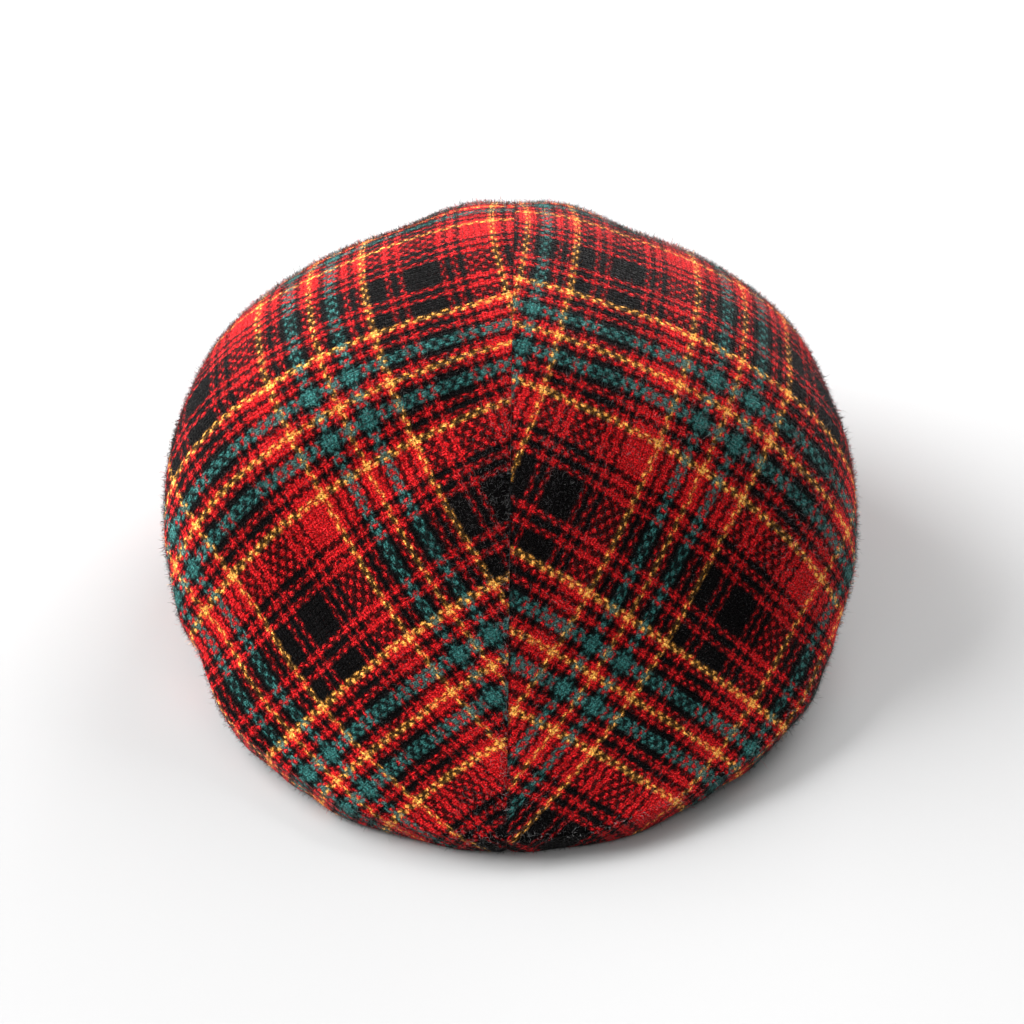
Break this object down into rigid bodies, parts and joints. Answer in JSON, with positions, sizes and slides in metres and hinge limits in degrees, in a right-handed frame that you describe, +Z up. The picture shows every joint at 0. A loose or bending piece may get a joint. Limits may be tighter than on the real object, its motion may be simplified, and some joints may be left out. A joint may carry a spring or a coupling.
{
  "type": "flat cap",
  "caption": "Soft tartan wool flat cap with a seam down its middle; the crown cloth runs out over a stiff peak, and a plain band lines the open hollow for the head.",
  "frame": {"origin": "under the middle of the cap's bounding box, on the surface that it rests on", "axes": "+Z up through the crown, -Y towards the front of the peak, +X towards the cap's right panel as seen from the front"},
  "size_m": [0.2092, 0.2499, 0.0903],
  "materials": {
    "tartan": "fulled wool twill in red, black and teal with thin yellow lines",
    "peak_cloth": "plain black wool cloth",
    "band_cloth": "plain black ribbed band"
  },
  "bodies": {
    "root": {"crown_left": "tartan", "crown_right": "tartan", "peak": "peak_cloth", "headband": "band_cloth"}
  },
  "joints": []
}
